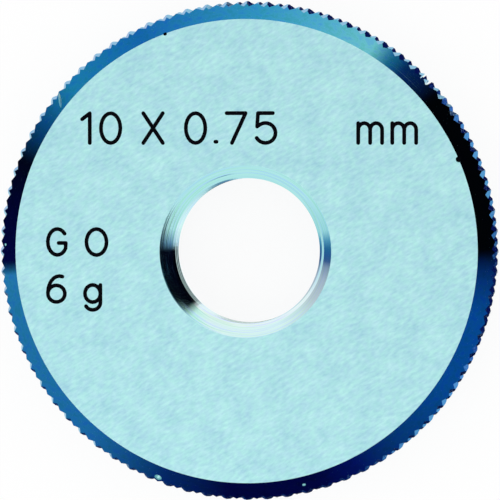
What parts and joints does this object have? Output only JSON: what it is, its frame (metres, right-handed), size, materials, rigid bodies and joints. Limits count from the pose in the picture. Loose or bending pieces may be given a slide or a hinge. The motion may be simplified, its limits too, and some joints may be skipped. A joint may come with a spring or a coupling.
{
  "type": "thread ring gauge",
  "caption": "Solid steel ring gauge with a threaded bore countersunk at both ends, ground flat faces, chamfered edges and a diamond knurled rim.",
  "frame": {"origin": "centre of the lower face, on the axis of the bore", "axes": "+Z along the bore, up from the lower face to the marked face; +X to the right of the marking as it is read, +Y up the marking"},
  "size_m": [0.0318, 0.0318, 0.005],
  "materials": {
    "gauge_steel": "hardened gauge steel, ground to a fine matt on the faces, bright and turned elsewhere",
    "marking_paint": "black stoving enamel, wiped into the engraved marks of the upper face"
  },
  "bodies": {
    "root": {"gauge_ring": "gauge_steel"}
  },
  "joints": []
}
